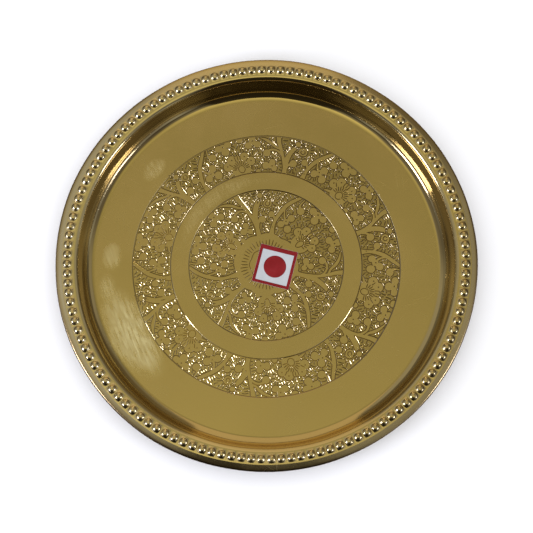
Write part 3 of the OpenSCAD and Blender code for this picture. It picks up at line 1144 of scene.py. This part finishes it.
def paper(name, ink):
    """Satin coated paper, or red ink on it: faint fibres, scuffs and a little soiling."""
    m, nt, b = material(name)
    obj = nt.nodes.new("ShaderNodeTexCoord").outputs["Object"]
    fibre = noise(nt, mapped(nt, obj, scale=(2600, 900, 900)), 1.0, 4, 0.6, 0.8)
    cloud = noise(nt, obj, 160, 3, 0.6, 0.3)
    scuff = step(nt, noise(nt, mapped(nt, mapped(nt, obj, rot=(0, 0, 0.7)), scale=(300, 3400, 300)), 1.0, 2, 0.5),
                 0.66, 0.74)
    if ink:
        col = mix(nt, step(nt, cloud, 0.35, 0.7), (0.165, 0.001, 0.004), (0.205, 0.002, 0.006), "RGBA")
        col = mix(nt, step(nt, fibre, 0.60, 0.80, 0.0, 0.35), col, (0.27, 0.015, 0.02), "RGBA")
        col = mix(nt, math_node(nt, "MULTIPLY", scuff, 0.25), col, (0.33, 0.05, 0.05), "RGBA")
        rough = step(nt, cloud, 0.3, 0.7, 0.30, 0.42)
    else:
        col = mix(nt, step(nt, cloud, 0.35, 0.7), (0.37, 0.39, 0.405), (0.405, 0.42, 0.43), "RGBA")
        col = mix(nt, step(nt, fibre, 0.55, 0.80, 0.0, 0.4), col, (0.36, 0.37, 0.37), "RGBA")
        col = mix(nt, math_node(nt, "MULTIPLY", scuff, 0.30), col, (0.33, 0.32, 0.30), "RGBA")
        rough = step(nt, cloud, 0.3, 0.7, 0.42, 0.55)
    b.inputs["Specular IOR Level"].default_value = 0.3
    link(nt, col, b.inputs["Base Color"])
    link(nt, math_node(nt, "ADD", rough, math_node(nt, "MULTIPLY", scuff, 0.12)), b.inputs["Roughness"])
    bump = nt.nodes.new("ShaderNodeBump")
    bump.inputs["Distance"].default_value = 1.0
    link(nt, math_node(nt, "ADD", math_node(nt, "MULTIPLY", fibre, 0.000008), math_node(nt, "MULTIPLY", cloud, 0.00003)),
         bump.inputs["Height"])
    link(nt, bump.outputs[0], b.inputs["Normal"])
    return m


label.data.materials.append(paper("label_coated_paper", False))
ink = paper("label_red_ink", True)
border.data.materials.append(ink)
dot.data.materials.append(ink)

# ---------------------------------------------------------------- camera
cam_data = bpy.data.cameras.new("camera")
cam = bpy.data.objects.new("camera", cam_data)
bpy.context.scene.collection.objects.link(cam)
TILT, DIST = math.radians(12.1), 0.700
target = Vector((0.0001, -0.0010, SHEET * MM))
cam.location = target + DIST * Vector((0, -math.sin(TILT), math.cos(TILT)))
cam.rotation_euler = (TILT, 0, 0)
cam_data.sensor_width = 36
cam_data.lens = 2.047 * DIST / MM / 533 * 36
bpy.context.scene.camera = cam

# ---------------------------------------------------------------- stage
me = bpy.data.meshes.new("floor")
s = 4.0
me.from_pydata([(-s, -s, 0), (s, -s, 0), (s, s, 0), (-s, s, 0)], [], [(0, 1, 2, 3)])
ground = bpy.data.objects.new("floor", me)
ground.location.z = -0.0003
bpy.context.scene.collection.objects.link(ground)
m, nt, b = material("floor_paper")
b.inputs["Base Color"].default_value = (0.85, 0.85, 0.85, 1)
b.inputs["Roughness"].default_value = 0.8
me.materials.append(m)
ground.visible_glossy = False

world = bpy.data.worlds.new("studio")
bpy.context.scene.world = world
world.use_nodes = True
wt = world.node_tree
wt.nodes.clear()
wo = wt.nodes.new("ShaderNodeOutputWorld")
bg = wt.nodes.new("ShaderNodeBackground")
link(wt, bg.outputs[0], wo.inputs[0])
tc = wt.nodes.new("ShaderNodeTexCoord")
ws = wt.nodes.new("ShaderNodeSeparateXYZ")
link(wt, tc.outputs["Generated"], ws.inputs[0])
wx, wy, wz = ws.outputs
az = math_node(wt, "ARCTAN2", wy, wx)                   # -pi..pi, anticlockwise from +X
pol = math_node(wt, "ARCCOSINE", math_node(wt, "MINIMUM", wz, 1.0))


def patch(azd, half, soft, p0, p1, psoft):
    """1 inside a patch of sky: azimuth azd +/- half degrees, from p0 to p1 degrees off the zenith."""
    d = math_node(wt, "SUBTRACT", az, math.radians(azd))
    d = math_node(wt, "WRAP", d, math.pi, -math.pi)
    d = math_node(wt, "ABSOLUTE", d)
    a = step(wt, d, math.radians(half + soft), math.radians(half))
    lo = step(wt, pol, math.radians(p0 - psoft), math.radians(p0))
    hi = step(wt, pol, math.radians(p1 + psoft), math.radians(p1))
    return math_node(wt, "MULTIPLY", a, math_node(wt, "MULTIPLY", lo, hi))


def between(x, stops):
    """Piecewise smooth sky colour by polar angle: (degrees, colour) stops."""
    out = stops[0][1]
    for (p0, _), (p1, c1) in zip(stops, stops[1:]):
        out = mix(wt, step(wt, x, math.radians(p0), math.radians(p1)), out, c1, "RGBA")
    return out


# the room round the tray, by azimuth: brighter behind and to the left, darkest at the front
turn = math_node(wt, "ADD", math_node(wt, "DIVIDE", az, TAU), 0.5)        # 0 at -180, 0.5 at 0, 1 at 180
room = ramp(wt, turn, [(0.0, (0.36, 0.35, 0.30)), (0.10, (0.17, 0.16, 0.13)), (0.19, (0.08, 0.07, 0.055)),
                       (0.32, (0.12, 0.11, 0.09)), (0.38, (0.27, 0.245, 0.21)), (0.50, (0.25, 0.24, 0.21)),
                       (0.60, (0.20, 0.165, 0.11)), (0.72, (0.42, 0.34, 0.21)), (0.86, (0.30, 0.26, 0.20)),
                       (0.93, (0.34, 0.32, 0.27)), (1.0, (0.36, 0.35, 0.30))])
dim = mix(wt, 0.45, (0.0, 0.0, 0.0), room, "RGBA")
tilt = step(wt, wy, -0.30, 0.50, 2.05, 0.42, False)                         # the ceiling is brighter over the front
tilt = math_node(wt, "MULTIPLY", tilt, step(wt, wx, -0.35, 0.35, 1.14, 0.86, False))
top = mix(wt, tilt, (0.0, 0.0, 0.0), (0.345, 0.308, 0.158), "RGBA")
top.node.clamp_factor = False
sky = between(pol, [(0, top), (21, top), (36, (0.21, 0.20, 0.17)), (56, dim), (86, dim), (102, room)])
sky = mix(wt, patch(162, 40, 14, 26, 56, 10), sky, (0.33, 0.315, 0.275), "RGBA")
sky = mix(wt, patch(2, 30, 14, 38, 60, 8), sky, (0.27, 0.255, 0.22), "RGBA")
sky = mix(wt, patch(184, 18, 14, 56, 84, 8), sky, (0.26, 0.25, 0.22), "RGBA")
sky = mix(wt, patch(93, 20, 2, 22, 130, 3), sky, (0.52, 0.42, 0.255), "RGBA")     # warm wall at the back
sky = mix(wt, patch(-93, 26, 5, 24, 140, 6), sky, (0.022, 0.018, 0.012), "RGBA")  # dark side at the front
sky = mix(wt, patch(205, 20, 10, 64, 80, 5), sky, (0.36, 0.37, 0.38), "RGBA")
sky = mix(wt, patch(335, 26, 12, 64, 82, 5), sky, (0.44, 0.46, 0.48), "RGBA")
path = wt.nodes.new("ShaderNodeLightPath")
plain = math_node(wt, "MAXIMUM", path.outputs["Is Camera Ray"], path.outputs["Is Diffuse Ray"])
sky = mix(wt, plain, sky, (1.30, 1.30, 1.32), "RGBA")
link(wt, sky, bg.inputs[0])
bg.inputs[1].default_value = 1.0


def softbox(name, azd, pold, dist, w, h, power, colour=(1, 1, 1)):
    data = bpy.data.lights.new(name, "AREA")
    data.shape = "RECTANGLE"
    data.size, data.size_y = w, h
    data.energy = power
    data.color = colour
    o = bpy.data.objects.new(name, data)
    bpy.context.scene.collection.objects.link(o)
    a, p = math.radians(azd), math.radians(pold)
    d = Vector((math.sin(p) * math.cos(a), math.sin(p) * math.sin(a), math.cos(p)))
    o.location = d * dist
    o.rotation_euler = (-d).to_track_quat("-Z", "Y").to_euler()
    return o


softbox("softbox_left", 202, 68, 1.6, 0.50, 0.40, 9.5, (0.93, 0.97, 1.22))
softbox("softbox_right", 337, 68, 1.6, 0.34, 0.36, 3.8, (0.93, 0.97, 1.22))
bpy.context.scene.view_settings.view_transform = "Standard"
